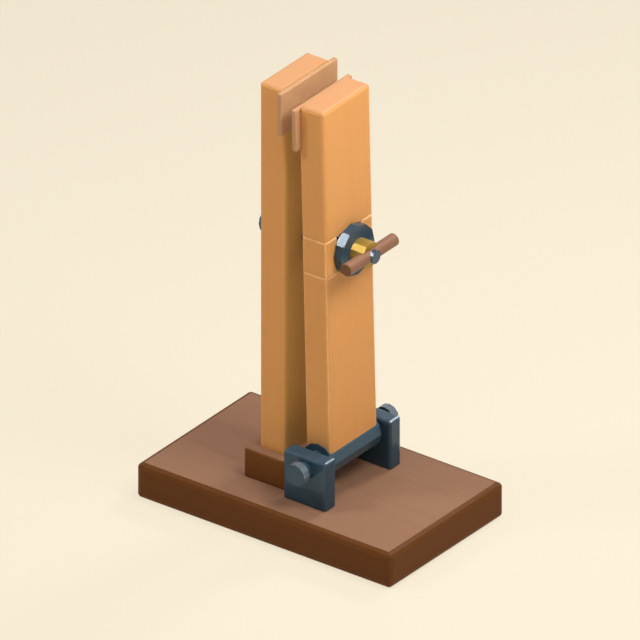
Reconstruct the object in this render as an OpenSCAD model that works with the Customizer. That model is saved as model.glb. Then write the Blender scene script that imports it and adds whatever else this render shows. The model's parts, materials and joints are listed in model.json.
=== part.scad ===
// Bench-top leather stitching clamp.
// A fixed wooden jaw stands in a foot block on a heavy board. A second jaw, built up of
// four pieces round a window and hinged at its foot on a steel barrel, is drawn against
// it by a hand screw. Leather pads at the top of both jaws hold the work.
// X runs from the fixed jaw to the hand wheel, Y across the jaws, and Z up from the bench.

/* [Base board] */
// Length of the board
base_l = 300; // [220:1:400]
// Width of the board
base_w = 180; // [160:1:260]
// Thickness of the board
base_t = 37.2; // [30:0.1:50]
// Easing along the edges of the board
base_ease = 5.9; // [1:0.1:10]

/* [Foot block] */
// Wall of the block in front of and behind the fixed jaw
foot_wall_l = 9.9; // [8:0.1:13]
// Wall of the block beside the fixed jaw
foot_wall_w = 11.1; // [9:0.1:20]
// Height of the block
foot_h = 30.3; // [20:0.1:45]
// Easing along the edges of the block
foot_ease = 1.5; // [0.5:0.1:3]

/* [Jaws] */
// Width of both jaws
jaw_w = 74.8; // [66:0.1:100]
// Easing along the edges of both jaws
jaw_ease = 3.3; // [1:0.1:5]
// Thickness of the fixed jaw
fixed_jaw_t = 30; // [26:0.1:36]
// Height of the fixed jaw above the board
fixed_jaw_h = 424.1; // [400:0.1:460]
// Middle of the fixed jaw, from the middle of the board
fixed_jaw_x = -28.2; // [-45:0.1:-10]
// Thickness of the moving jaw
moving_jaw_t = 28.6; // [26:0.1:34]
// Top of the moving jaw above the hinge
moving_jaw_h = 375.6; // [355:0.1:390]
// Lean of the open moving jaw towards the fixed jaw, in degrees
jaw_lean = 1.4; // [1:0.1:2]
// Easing where the blocks of the moving jaw meet
seam_ease = 1.1; // [0.5:0.1:2]

/* [Screw window] */
// Width of the window in the moving jaw
window_w = 38.6; // [30:0.1:40]
// Height of the window
window_h = 38; // [30:0.1:40]
// Middle of the window above the screw
window_lift = 1.1; // [0:0.1:3]
// Radius of the dowels through the cheeks of the window
dowel_r = 4; // [3:0.1:5]
// Length of each dowel past the window, at both ends
dowel_reach = 20; // [12:1:30]

/* [Leather pads] */
// Width of both pads
pad_w = 89; // [80:0.5:110]
// Thickness of both pads
pad_t = 5; // [4.5:0.1:8]
// Height of the fixed jaw's pad
fixed_pad_h = 44.8; // [30:0.1:60]
// Depth that the fixed jaw's pad is let into the wood
fixed_pad_inset = 4.1; // [3.4:0.1:4.4]
// Drop of the fixed jaw's pad below the top of the wood
fixed_pad_drop = 0.5; // [0:0.1:3]
// Height of the moving jaw's pad
moving_pad_h = 43.2; // [30:0.1:60]
// Depth that the moving jaw's pad is let into the wood
moving_pad_inset = 1.6; // [1:0.1:3]
// Drop of the moving jaw's pad below the top of the wood
moving_pad_drop = 2.4; // [1:0.1:5]
// Easing along the edges of both pads
pad_ease = 0.6; // [0.2:0.1:1]
// Gap between the tops of the open pads
mouth = 11.5; // [8:0.1:14]

/* [Hinge] */
// Hinge above the board
hinge_rise = 38.3; // [32:0.1:44]
// Radius of the twelve-sided barrel, over its corners
barrel_r = 17.9; // [16.5:0.1:20]
// Length of the barrel past the jaw, at both ends
barrel_past = 1.3; // [0.5:0.1:4]
// Radius of the hinge pin
pin_r = 5; // [4:0.1:5.5]
// Wall of each bush round the pin
bush_wall = 1.75; // [1:0.05:2]
// Length of each bush inside the barrel
bush_l = 14; // [8:1:24]
// Radius of the bush's flange
bush_flange_r = 11; // [9:0.5:14]
// Thickness of the bush's flange
bush_flange_t = 3.8; // [2:0.1:6]
// Length of each ear
ear_l = 49.9; // [40:0.1:52]
// Thickness of each ear
ear_t = 16.9; // [12:0.1:20]
// Height of each ear
ear_h = 51.7; // [49:0.1:62]
// Easing along the edges of each ear
ear_ease = 2.5; // [0.5:0.1:4]
// Radius of the spacer between ear and pin head
spacer_r = 8.5; // [7:0.1:10]
// Length of the spacer
spacer_l = 6.5; // [3:0.1:8]
// Radius of the twelve-sided pin heads, over their corners
pin_head_r = 11.3; // [9:0.1:14]
// Length of each pin head
pin_head_l = 8.4; // [7:0.1:12]

/* [Clamp screw] */
// Screw above the board
screw_rise = 254.9; // [230:0.1:275]
// Radius of the screw
screw_r = 6; // [5:0.1:7]
// End of the open screw inside the face of the nut
screw_end_set = 1; // [0.5:0.1:3]
// Radius of the nut's twelve-sided head, over its corners
nut_head_r = 14.6; // [12:0.1:18]
// Length of the nut's head
nut_head_l = 15.7; // [8:0.1:20]
// Wall of the nut's sleeve round the screw
nut_sleeve_wall = 2.5; // [2:0.1:3]
// Radius of the washer under the nut
nut_washer_r = 18; // [16:0.5:24]
// Thickness of the washer under the nut
nut_washer_t = 2.4; // [1:0.1:4]
// Radius of the twelve-sided collar, over its corners
collar_r = 11.3; // [10.5:0.1:14]
// Length of the collar
collar_l = 5; // [3:0.1:7]

/* [Hand wheel] */
// Radius of the twelve-sided wheel, over its corners
wheel_r = 25.9; // [24.5:0.1:29]
// Thickness of the wheel
wheel_t = 8.9; // [6:0.1:14]
// Gap between the lowest corner of the open wheel and the face of the jaw
wheel_gap = 0.3; // [0.3:0.1:1]
// Radius of the thrust washer behind the wheel
thrust_r = 22.5; // [21.8:0.1:23]
// Thickness of the thrust washer
thrust_t = 2; // [1.5:0.1:3]
// Room round the thrust washer in its recess
thrust_room = 0.6; // [0.4:0.1:1]
// Radius of the twelve-sided hub, over its corners
hub_r = 13.2; // [12.5:0.1:16]
// Length of the hub in front of the wheel
hub_l = 15.1; // [12:0.1:20]
// Radius of the hub's sleeve through the wheel
hub_sleeve_r = 9.5; // [8.5:0.1:11]
// Radius of the handle bar
handle_r = 6.4; // [5.5:0.1:7]
// Length of the handle bar
handle_l = 75.5; // [60:0.5:110]
// Depth of the bar's middle line inside the face of the hub
handle_set = 1.1; // [0:0.1:3]
// Easing at the ends of the handle bar
handle_ease = 0.5; // [0.2:0.1:2]
// Radius of the screw's stud through the bar
stud_r = 3; // [2:0.1:3.5]
// Radius of the twelve-sided cap, over its corners
cap_r = 6.9; // [6:0.1:8]
// Height of the cap above the bar
cap_proud = 1.3; // [0.5:0.1:4]
// Depth of the cap's seat in the bar
cap_seat = 3; // [1.5:0.1:4]

/* [Fasteners] */
// Radius of the screws into the ears
ear_screw_r = 3; // [2:0.1:4]
// Length of those screws inside an ear
ear_screw_reach = 18; // [10:1:24]
// Radius of the screws into the foot block
block_screw_r = 2; // [1.5:0.1:2.5]
// Length of those screws inside the foot block
block_screw_reach = 16; // [8:1:18]
// Radius of the screws into the foot of the fixed jaw
foot_screw_r = 3; // [2:0.1:4]
// Length of those screws inside the jaw
foot_screw_reach = 40; // [20:1:60]
// Radius of the screws from the barrel into the moving jaw
barrel_screw_r = 1.8; // [1.5:0.1:2]
// Length of those screws past the middle of the barrel
barrel_screw_reach = 42; // [28:1:60]
// Radius of the grub screw in the hub
grub_r = 2; // [1.5:0.1:2.5]

/* [Hidden] */

// Faces of a round surface, of the turned pieces left with flats, and of a hexagon socket
round_faces = 48;
flat_faces = 12;
hex_faces = 6;
// Flats that ease one edge
ease_cuts = 2;
// Radial room of a shaft in its hole, and of a glued or driven piece in its place
fit = 0.05;
// End play of the hinge between its ears
side_play = 0.1;
// Room between the thrust washer and what it rubs on
rub_gap = 0.1;
// Length by which every cut runs past the wood or metal
overrun = 5;
// Empty depth beyond the tip of every screw
tip_room = 1;

// Heads of the screws under the board
head_share = 2;
head_l_share = 1.4;
// Depth of the heads inside the counterbores, and room round them
head_set = 2;
head_room = 0.4;
// Slots and sockets in the heads, as shares of the head
slot_w_share = 0.22;
socket_r_share = 0.52;
drive_depth_share = 0.45;
// Screws across the jaw and along each ear, as shares of what they hold
foot_screw_spread_share = 0.27;
ear_screw_spread_share = 0.3;
// Barrel screws: places across and along the jaw, and depth of their heads
barrel_screw_y_share = 0.3;
barrel_web = 1.3;
barrel_head_share = 1.75;
barrel_seat_share = 0.52;
barrel_head_l = 2.4;
// Place of the dowels in the thickness of the jaw
dowel_x_share = -0.12;
// Room round the screw in the thrust washer
thrust_bore_room = 0.3;
// Length of the screw's shoulder behind the bar's groove in the hub
shoulder_web = 2.4;
// Crown of the cap over its stud, and length of the stud in the pin's cap
cap_crown = 1;
pin_stud_r_share = 0.7;
pin_stud_l_share = 0.7;
// Grub screw: room over its top, and place along the hub
grub_set = 0.6;
grub_place_share = 0.25;

// Heights
board_top = base_t;
hinge_z = board_top + hinge_rise;
screw_z = board_top + screw_rise;
fixed_top = board_top + fixed_jaw_h;

// Fixed jaw and its pad
fixed_back_x = fixed_jaw_x - fixed_jaw_t / 2;
fixed_face_x = fixed_jaw_x + fixed_jaw_t / 2;
fixed_pad_back_x = fixed_face_x - fixed_pad_inset;
fixed_pad_face_x = fixed_pad_back_x + pad_t;
fixed_pad_hi = fixed_top - fixed_pad_drop;
fixed_pad_lo = fixed_pad_hi - fixed_pad_h;

// Moving jaw, in its own frame: origin on the hinge, Z along the jaw
moving_face = moving_jaw_t / 2;
moving_pad_back = moving_pad_inset - moving_face;
moving_pad_face = moving_pad_back - pad_t;
moving_pad_hi = moving_jaw_h - moving_pad_drop;
moving_pad_lo = moving_pad_hi - moving_pad_h;

// The hinge stands where the open pads leave the mouth between them
hinge_x = fixed_pad_face_x + mouth - moving_pad_face * cos(jaw_lean) + moving_pad_hi * sin(jaw_lean);

// A point of the board's frame, seen in the moving jaw's frame
function jaw_x(x, z) = (x - hinge_x) * cos(jaw_lean) + (z - hinge_z) * sin(jaw_lean);
function jaw_z(x, z) = (z - hinge_z) * cos(jaw_lean) - (x - hinge_x) * sin(jaw_lean);

// The wheel clears the leaning face of the jaw at its lowest corner
face_at_wheel = hinge_x + moving_face / cos(jaw_lean) - (screw_z - wheel_r - hinge_z) * tan(jaw_lean);
wheel_back = face_at_wheel + wheel_gap;
wheel_front = wheel_back + wheel_t;
hub_front = wheel_front + hub_l;
thrust_front = wheel_back - rub_gap / 2;
thrust_back = thrust_front - thrust_t;
handle_x = hub_front - handle_set;
groove_floor = handle_x - handle_r - fit;
shoulder_x = groove_floor - shoulder_web;
cap_base = handle_x + handle_r - cap_seat;
cap_front = handle_x + handle_r + cap_proud;
stud_end = cap_front - cap_crown;

// Recess for the thrust washer, deep enough that the washer just meets its floor
recess_r = thrust_r + thrust_room;
recess_floor = jaw_x(thrust_back, screw_z - thrust_r) - rub_gap;
recess_z = jaw_z(wheel_back, screw_z);
window_mid = recess_z + window_lift;
window_lo = window_mid - window_h / 2;
window_hi = window_mid + window_h / 2;

// Nut on the back of the fixed jaw, with its sleeve through the wood into the collar
nut_sleeve_r = screw_r + nut_sleeve_wall;
nut_seat = fixed_back_x - nut_washer_t;
nut_face = nut_seat - nut_head_l;
collar_face = fixed_face_x + collar_l;
screw_end = nut_face + screw_end_set;

// Hinge, from the middle outwards
barrel_half = jaw_w / 2 + barrel_past;
ear_in = barrel_half + bush_flange_t + side_play;
ear_out = ear_in + ear_t;
head_in = ear_out + spacer_l;
head_out = head_in + pin_head_l;
bush_r = pin_r + bush_wall;
barrel_screw_x = bush_r + barrel_web + barrel_screw_r;
barrel_seat = -barrel_r * barrel_seat_share;

// Screws under the board
block_screw_x = fixed_jaw_t / 2 + foot_wall_l / 2;
block_screw_y = jaw_w / 2 + foot_wall_w / 2;
foot_screw_y = jaw_w * foot_screw_spread_share;
ear_screw_x = ear_l * ear_screw_spread_share;
ear_screw_y = (ear_in + ear_out) / 2;

// Colours
walnut = [0.45, 0.29, 0.21];
beech = [0.89, 0.6, 0.36];
blue_steel = [0.22, 0.28, 0.33];
bright_steel = [0.62, 0.64, 0.66];
brass = [0.76, 0.6, 0.2];
rosewood = [0.56, 0.36, 0.28];
tan_leather = [0.77, 0.57, 0.4];

// Points round one corner of an outline, in the quarter turn that starts at the angle from
function corner(x, y, ease, from) = [
    for (k = [0:ease_cuts])
        let (a = from + 90 * k / ease_cuts)
            [x - ease * sign(cos(from + 45)) + ease * cos(a), y - ease * sign(sin(from + 45)) + ease * sin(a)]
];

// Rectangle between two corners, its lower and upper corners eased by their own sizes
module eased_outline(lo, hi, low_ease, high_ease) {
    polygon(concat(
        corner(hi.x, hi.y, high_ease, 0),
        corner(lo.x, hi.y, high_ease, 90),
        corner(lo.x, lo.y, low_ease, 180),
        corner(hi.x, lo.y, low_ease, 270)
    ));
}

// Cut across the corner where three eased edges meet, square to the corner's own diagonal and
// as deep as a ball of that radius stands away from the corner; side points out of the block
module blunt_corner(place, side, ease) {
    depth = ease * (sqrt(3) - 1);
    translate(place)
        rotate([0, acos(side.z / sqrt(3)), atan2(side.y, side.x)])
            translate([-2 * ease, -2 * ease, -depth])
                cube([4 * ease, 4 * ease, depth + overrun]);
}

// Block between two corners: sides gives the easing of its upright edges at low and high Y,
// and ends that of its foot and its head
module eased_block(lo, hi, sides, ends) {
    size = hi - lo;
    difference() {
        intersection() {
            translate([0, 0, lo.z])
                linear_extrude(size.z)
                    eased_outline([lo.x, lo.y], [hi.x, hi.y], sides[0], sides[1]);
            translate([lo.x, 0, 0])
                rotate([90, 0, 90])
                    linear_extrude(size.x)
                        eased_outline([lo.y, lo.z], [hi.y, hi.z], ends[0], ends[1]);
            translate([0, hi.y, 0])
                rotate([90, 0, 0])
                    linear_extrude(size.y)
                        eased_outline([lo.x, lo.z], [hi.x, hi.z], ends[0], ends[1]);
        }
        for (x = [0, 1])
            for (y = [0, 1])
                for (z = [0, 1])
                    if (sides[y] == ends[z])
                        blunt_corner([[lo, hi][x].x, [lo, hi][y].y, [lo, hi][z].z],
                            2 * [x, y, z] - [1, 1, 1], sides[y]);
    }
}

// Bars along X and along Y between two places, round unless faces says otherwise
module bar_x(r, from, to, faces = round_faces) {
    translate([from, 0, 0])
        rotate([0, 90, 0])
            cylinder(r = r, h = to - from, $fn = faces);
}

module bar_y(r, from, to, faces = round_faces) {
    translate([0, from, 0])
        rotate([-90, 0, 0])
            cylinder(r = r, h = to - from, $fn = faces);
}

module bar_z(r, from, to, faces = round_faces) {
    translate([0, 0, from])
        cylinder(r = r, h = to - from, $fn = faces);
}

module on_hinge() {
    translate([hinge_x, 0, hinge_z])
        children();
}

module on_screw() {
    translate([0, 0, screw_z])
        children();
}

module in_moving_jaw() {
    translate([hinge_x, 0, hinge_z])
        rotate([0, -jaw_lean, 0])
            children();
}

// Places of the screws under the board
module at_block_screws() {
    for (sx = [-1, 1])
        for (sy = [-1, 1])
            translate([fixed_jaw_x + sx * block_screw_x, sy * block_screw_y, 0])
                children();
}

module at_foot_screws() {
    for (sy = [-1, 1])
        translate([fixed_jaw_x, sy * foot_screw_y, 0])
            children();
}

module at_ear_screws() {
    for (sx = [-1, 1])
        for (sy = [-1, 1])
            translate([hinge_x + sx * ear_screw_x, sy * ear_screw_y, 0])
                children();
}

// Screw driven up through the board, with a slot or a hexagon socket in its sunk head
module board_screw(r, reach, socket = false) {
    head_r = r * head_share;
    seat = head_set + r * head_l_share;
    drive = (seat - head_set) * drive_depth_share;
    difference() {
        union() {
            bar_z(head_r, head_set, seat);
            bar_z(r, head_set, board_top + reach);
        }
        if (socket)
            bar_z(head_r * socket_r_share, head_set - overrun, head_set + drive, hex_faces);
        else
            translate([-head_r, -head_r * slot_w_share / 2, head_set - overrun])
                cube([2 * head_r, head_r * slot_w_share, overrun + drive]);
    }
}

module board_screw_hole(r, reach) {
    bar_z(r * head_share + head_room, -overrun, head_set + r * head_l_share);
    bar_z(r + fit, 0, board_top + reach + tip_room);
}

module base_board() {
    color(walnut)
        difference() {
            eased_block([-base_l / 2, -base_w / 2, 0], [base_l / 2, base_w / 2, base_t],
                [base_ease, base_ease], [base_ease, base_ease]);
            at_block_screws()
                board_screw_hole(block_screw_r, block_screw_reach);
            at_foot_screws()
                board_screw_hole(foot_screw_r, foot_screw_reach);
            at_ear_screws()
                board_screw_hole(ear_screw_r, ear_screw_reach);
        }
}

// Block with a mortise all the way through, which the foot of the fixed jaw fills
module foot_block() {
    half_l = fixed_jaw_t / 2 + foot_wall_l;
    half_w = jaw_w / 2 + foot_wall_w;
    color(walnut)
        difference() {
            translate([fixed_jaw_x, 0, 0])
                eased_block([-half_l, -half_w, board_top], [half_l, half_w, board_top + foot_h],
                    [foot_ease, foot_ease], [foot_ease, foot_ease]);
            translate([0, 0, board_top - overrun])
                linear_extrude(foot_h + 2 * overrun)
                    eased_outline([fixed_back_x - fit, -jaw_w / 2 - fit],
                        [fixed_face_x + fit, jaw_w / 2 + fit], jaw_ease, jaw_ease);
            at_block_screws()
                board_screw_hole(block_screw_r, block_screw_reach);
        }
}

module fixed_jaw() {
    color(beech)
        difference() {
            eased_block([fixed_back_x, -jaw_w / 2, board_top], [fixed_face_x, jaw_w / 2, fixed_top],
                [jaw_ease, jaw_ease], [seam_ease, jaw_ease]);
            on_screw()
                bar_x(nut_sleeve_r + fit, fixed_back_x - overrun, fixed_face_x + overrun);
            translate([fixed_pad_back_x, -jaw_w / 2 - overrun, fixed_pad_lo])
                cube([fixed_pad_inset + overrun, jaw_w + 2 * overrun, fixed_pad_h + fixed_pad_drop + overrun]);
            at_foot_screws()
                board_screw_hole(foot_screw_r, foot_screw_reach);
        }
}

module fixed_jaw_pad() {
    color(tan_leather)
        eased_block([fixed_pad_back_x, -pad_w / 2, fixed_pad_lo], [fixed_pad_face_x, pad_w / 2, fixed_pad_hi],
            [pad_ease, pad_ease], [pad_ease, pad_ease]);
}

module hinge_ear(side) {
    inner = min(side * ear_in, side * ear_out);
    outer = max(side * ear_in, side * ear_out);
    color(blue_steel)
        difference() {
            translate([hinge_x, 0, 0])
                eased_block([-ear_l / 2, inner, board_top], [ear_l / 2, outer, board_top + ear_h],
                    [ear_ease, ear_ease], [seam_ease, ear_ease]);
            on_hinge()
                bar_y(pin_r + fit, inner - overrun, outer + overrun);
            at_ear_screws()
                board_screw_hole(ear_screw_r, ear_screw_reach);
        }
}

module front_hinge_ear() {
    hinge_ear(-1);
}

module rear_hinge_ear() {
    hinge_ear(1);
}

// Pin with one head of its own and a stud for the other
module hinge_pin() {
    color(blue_steel)
        on_hinge()
            union() {
                bar_y(pin_head_r, -head_out, -head_in, flat_faces);
                bar_y(pin_r, -head_out, head_in);
                bar_y(pin_r * pin_stud_r_share, -head_out, head_in + pin_head_l * pin_stud_l_share);
            }
}

module hinge_pin_cap() {
    color(blue_steel)
        on_hinge()
            difference() {
                bar_y(pin_head_r, head_in, head_out, flat_faces);
                bar_y(pin_r * pin_stud_r_share + fit, head_in - overrun,
                    head_in + pin_head_l * pin_stud_l_share + fit);
            }
}

module pin_spacers() {
    color(blue_steel)
        on_hinge()
            for (side = [-1, 1])
                difference() {
                    bar_y(spacer_r, min(side * ear_out, side * head_in), max(side * ear_out, side * head_in));
                    bar_y(pin_r + fit, -head_out, head_out);
                }
}

module ear_screws() {
    color(bright_steel)
        at_ear_screws()
            board_screw(ear_screw_r, ear_screw_reach, true);
}

module foot_block_screws() {
    color(bright_steel)
        at_block_screws()
            board_screw(block_screw_r, block_screw_reach);
}

module jaw_foot_screws() {
    color(bright_steel)
        at_foot_screws()
            board_screw(foot_screw_r, foot_screw_reach);
}

module screw_nut() {
    color(blue_steel)
        on_screw()
            difference() {
                union() {
                    bar_x(nut_head_r, nut_face, nut_seat, flat_faces);
                    bar_x(nut_sleeve_r, nut_face, collar_face);
                }
                bar_x(screw_r + fit, nut_face - overrun, collar_face + overrun);
            }
}

module nut_washer() {
    color(bright_steel)
        on_screw()
            difference() {
                bar_x(nut_washer_r, nut_seat, fixed_back_x);
                bar_x(nut_sleeve_r + fit, nut_seat - overrun, fixed_back_x + overrun);
            }
}

module nut_collar() {
    color(blue_steel)
        on_screw()
            difference() {
                bar_x(collar_r, fixed_face_x, collar_face, flat_faces);
                bar_x(nut_sleeve_r + fit, fixed_face_x - overrun, collar_face + overrun);
            }
}

// Round recess in the outer face of the moving jaw, round its window, for the thrust washer
module washer_recess() {
    translate([0, 0, recess_z])
        bar_x(recess_r, recess_floor, moving_face + overrun);
}

module dowel_holes() {
    for (side = [-1, 1])
        dowel(side, dowel_r + fit, dowel_reach + tip_room);
}

module dowel(side, r, reach) {
    translate([moving_jaw_t * dowel_x_share, side * (window_w + jaw_w) / 4, 0])
        bar_z(r, window_lo - reach, window_hi + reach);
}

// Places of the screws that hold the barrel, two each side of the pin
module at_barrel_screws() {
    for (sx = [-1, 1])
        for (sy = [-1, 1])
            translate([sx * barrel_screw_x, sy * jaw_w * barrel_screw_y_share, 0])
                children();
}

module barrel_screw_holes() {
    at_barrel_screws() {
        bar_z(barrel_screw_r * barrel_head_share + fit, -barrel_r - overrun, barrel_seat);
        bar_z(barrel_screw_r + fit, barrel_seat - overrun, barrel_screw_reach + tip_room);
    }
}

// Longest block of the moving jaw, its foot coped over the barrel
module lower_jaw_block() {
    color(beech)
        in_moving_jaw()
            difference() {
                eased_block([-moving_face, -jaw_w / 2, 0], [moving_face, jaw_w / 2, window_lo],
                    [jaw_ease, jaw_ease], [seam_ease, seam_ease]);
                bar_y(barrel_r + fit, -jaw_w, jaw_w, flat_faces);
                barrel_screw_holes();
                washer_recess();
                dowel_holes();
            }
}

module window_cheek(side) {
    inner = min(side * window_w / 2, side * jaw_w / 2);
    outer = max(side * window_w / 2, side * jaw_w / 2);
    color(beech)
        in_moving_jaw()
            difference() {
                eased_block([-moving_face, inner, window_lo], [moving_face, outer, window_hi],
                    side < 0 ? [jaw_ease, seam_ease] : [seam_ease, jaw_ease], [seam_ease, seam_ease]);
                washer_recess();
                dowel_holes();
            }
}

module front_window_cheek() {
    window_cheek(-1);
}

module rear_window_cheek() {
    window_cheek(1);
}

module upper_jaw_block() {
    color(beech)
        in_moving_jaw()
            difference() {
                eased_block([-moving_face, -jaw_w / 2, window_hi], [moving_face, jaw_w / 2, moving_jaw_h],
                    [jaw_ease, jaw_ease], [seam_ease, jaw_ease]);
                translate([moving_pad_back - overrun, -jaw_w / 2 - overrun, moving_pad_lo])
                    cube([overrun, jaw_w + 2 * overrun, moving_pad_h + moving_pad_drop + overrun]);
                washer_recess();
                dowel_holes();
            }
}

module jaw_dowels() {
    color(beech)
        in_moving_jaw()
            for (side = [-1, 1])
                dowel(side, dowel_r, dowel_reach);
}

module moving_jaw_pad() {
    color(tan_leather)
        in_moving_jaw()
            eased_block([moving_pad_face, -pad_w / 2, moving_pad_lo], [moving_pad_back, pad_w / 2, moving_pad_hi],
                [pad_ease, pad_ease], [pad_ease, pad_ease]);
}

module hinge_barrel() {
    color(blue_steel)
        in_moving_jaw()
            difference() {
                bar_y(barrel_r, -barrel_half, barrel_half, flat_faces);
                bar_y(pin_r + 2 * fit, -barrel_half - overrun, barrel_half + overrun);
                for (side = [-1, 1])
                    bush_sleeve(side, bush_r + fit, bush_l, overrun);
                barrel_screw_holes();
            }
}

// Sleeve of a bush, length long inside the end of the barrel and past long outside it
module bush_sleeve(side, r, length, past) {
    inner = side * (barrel_half - length);
    outer = side * (barrel_half + past);
    bar_y(r, min(inner, outer), max(inner, outer));
}

module hinge_bushes() {
    color(blue_steel)
        in_moving_jaw()
            for (side = [-1, 1])
                difference() {
                    union() {
                        bush_sleeve(side, bush_r, bush_l, bush_flange_t);
                        bush_sleeve(side, bush_flange_r, 0, bush_flange_t);
                    }
                    bar_y(pin_r + fit, -head_out, head_out);
                }
}

module barrel_screws() {
    head_r = barrel_screw_r * barrel_head_share;
    head_face = barrel_seat - barrel_head_l;
    slot_w = head_r * slot_w_share;
    color(bright_steel)
        in_moving_jaw()
            at_barrel_screws()
                difference() {
                    union() {
                        bar_z(head_r, head_face, barrel_seat);
                        bar_z(barrel_screw_r, head_face, barrel_screw_reach);
                    }
                    translate([-head_r, -slot_w / 2, head_face - overrun])
                        cube([2 * head_r, slot_w, overrun + barrel_head_l * drive_depth_share]);
                }
}

module thrust_washer() {
    color(bright_steel)
        on_screw()
            difference() {
                bar_x(thrust_r, thrust_back, thrust_front);
                bar_x(screw_r + thrust_bore_room, thrust_back - overrun, thrust_front + overrun);
            }
}

module clamp_screw() {
    color(blue_steel)
        on_screw()
            union() {
                bar_x(screw_r, screw_end, shoulder_x);
                bar_x(stud_r, screw_end, stud_end);
            }
}

module hand_wheel() {
    color(blue_steel)
        on_screw()
            difference() {
                bar_x(wheel_r, wheel_back, wheel_front, flat_faces);
                bar_x(hub_sleeve_r + fit, wheel_back - overrun, wheel_front + overrun);
            }
}

// Place of the grub screw, under the hub, with Z along the grub screw
module at_grub_screw() {
    translate([wheel_front + hub_l * grub_place_share, 0, 0])
        rotate([180, 0, 0])
            children();
}

module brass_hub() {
    color(brass)
        on_screw()
            difference() {
                union() {
                    bar_x(hub_r, wheel_front, hub_front, flat_faces);
                    bar_x(hub_sleeve_r, wheel_back, hub_front);
                }
                bar_x(screw_r + fit, wheel_back - overrun, shoulder_x);
                bar_x(stud_r + fit, shoulder_x - overrun, hub_front + overrun);
                translate([handle_x, 0, 0])
                    bar_y(handle_r + fit, -hub_r - overrun, hub_r + overrun);
                translate([handle_x, -hub_r - overrun, -handle_r - fit])
                    cube([overrun, 2 * (hub_r + overrun), 2 * (handle_r + fit)]);
                at_grub_screw()
                    bar_z(grub_r + fit, 0, hub_r + overrun);
            }
}

module hub_grub_screw() {
    top = hub_r * cos(180 / flat_faces) - grub_set;
    color(bright_steel)
        on_screw()
            at_grub_screw()
                difference() {
                    bar_z(grub_r, screw_r + fit, top);
                    bar_z(grub_r * socket_r_share, top - grub_r, top + overrun, hex_faces);
                }
}

module handle_bar() {
    half = handle_l / 2;
    color(rosewood)
        on_screw()
            difference() {
                translate([handle_x, half, 0])
                    rotate([90, 0, 0])
                        rotate_extrude($fn = round_faces)
                            polygon([[0, 0], [handle_r - handle_ease, 0], [handle_r, handle_ease],
                                [handle_r, handle_l - handle_ease], [handle_r - handle_ease, handle_l],
                                [0, handle_l]]);
                bar_x(stud_r + fit, handle_x - handle_r - overrun, cap_front);
                bar_x(cap_r + fit, cap_base, cap_front + overrun);
            }
}

module screw_cap() {
    color(blue_steel)
        on_screw()
            difference() {
                bar_x(cap_r, cap_base, cap_front, flat_faces);
                bar_x(stud_r + fit, cap_base - overrun, stud_end + fit);
            }
}

base_board();
foot_block();
fixed_jaw();
fixed_jaw_pad();
front_hinge_ear();
rear_hinge_ear();
hinge_pin();
hinge_pin_cap();
pin_spacers();
ear_screws();
foot_block_screws();
jaw_foot_screws();
screw_nut();
nut_washer();
nut_collar();
lower_jaw_block();
front_window_cheek();
rear_window_cheek();
upper_jaw_block();
jaw_dowels();
moving_jaw_pad();
hinge_barrel();
barrel_screws();
hinge_bushes();
thrust_washer();
clamp_screw();
hand_wheel();
brass_hub();
hub_grub_screw();
handle_bar();
screw_cap();
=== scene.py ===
import json
from math import cos, pi, radians, sin

import bmesh
import bpy
from mathutils import Matrix, Vector


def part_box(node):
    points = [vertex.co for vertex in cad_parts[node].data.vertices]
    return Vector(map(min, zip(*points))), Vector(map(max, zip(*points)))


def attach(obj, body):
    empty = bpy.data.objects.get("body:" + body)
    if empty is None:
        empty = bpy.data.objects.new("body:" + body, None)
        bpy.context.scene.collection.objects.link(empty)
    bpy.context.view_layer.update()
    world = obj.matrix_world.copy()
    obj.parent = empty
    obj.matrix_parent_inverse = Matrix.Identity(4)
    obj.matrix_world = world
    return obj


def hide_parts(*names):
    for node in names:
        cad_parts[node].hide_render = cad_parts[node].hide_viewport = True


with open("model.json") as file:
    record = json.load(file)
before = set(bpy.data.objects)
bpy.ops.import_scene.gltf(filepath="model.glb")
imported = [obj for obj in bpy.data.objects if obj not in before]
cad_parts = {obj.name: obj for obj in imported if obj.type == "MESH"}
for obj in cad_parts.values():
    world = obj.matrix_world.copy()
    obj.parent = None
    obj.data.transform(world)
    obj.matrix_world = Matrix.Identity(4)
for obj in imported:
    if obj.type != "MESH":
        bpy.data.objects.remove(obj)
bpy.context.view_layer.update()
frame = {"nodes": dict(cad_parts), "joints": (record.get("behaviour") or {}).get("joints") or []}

# Bench-top leather stitching clamp: a fixed wooden jaw in a foot block on a heavy board,
# and a hinged jaw that a hand screw pushes against it. Everything is in metres, with
# X from the fixed jaw to the hand wheel, Y across the jaws and Z up from the bench.
nodes = frame["nodes"]
scene = bpy.context.scene

# Camera: a parallel view at the photograph's angle, as wide as the photograph's frame at
# the clamp's own scale.
view_azimuth = radians(36.87)
view_elevation = radians(29.25)
view_width = 0.6038
view_middle = Vector((0, 0, 0.2019))
camera_distance = 2.0

away = Vector((
    sin(view_azimuth) * cos(view_elevation),
    -cos(view_azimuth) * cos(view_elevation),
    sin(view_elevation),
))
camera_data = bpy.data.cameras.new("camera")
camera_data.type = "ORTHO"
camera_data.ortho_scale = view_width
camera = bpy.data.objects.new("camera", camera_data)
camera.location = view_middle + away * camera_distance
camera.rotation_mode = "QUATERNION"
camera.rotation_quaternion = (-away).to_track_quat("-Z", "Y")
scene.collection.objects.link(camera)
scene.camera = camera
scene.view_settings.view_transform = "Standard"

# Lamps: soft round ones about a metre off, all turned to the middle of the clamp, and a
# distant one behind it that draws thin lights along the upper edges.
lamp_aim = Vector((0, 0, 0.2))
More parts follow.
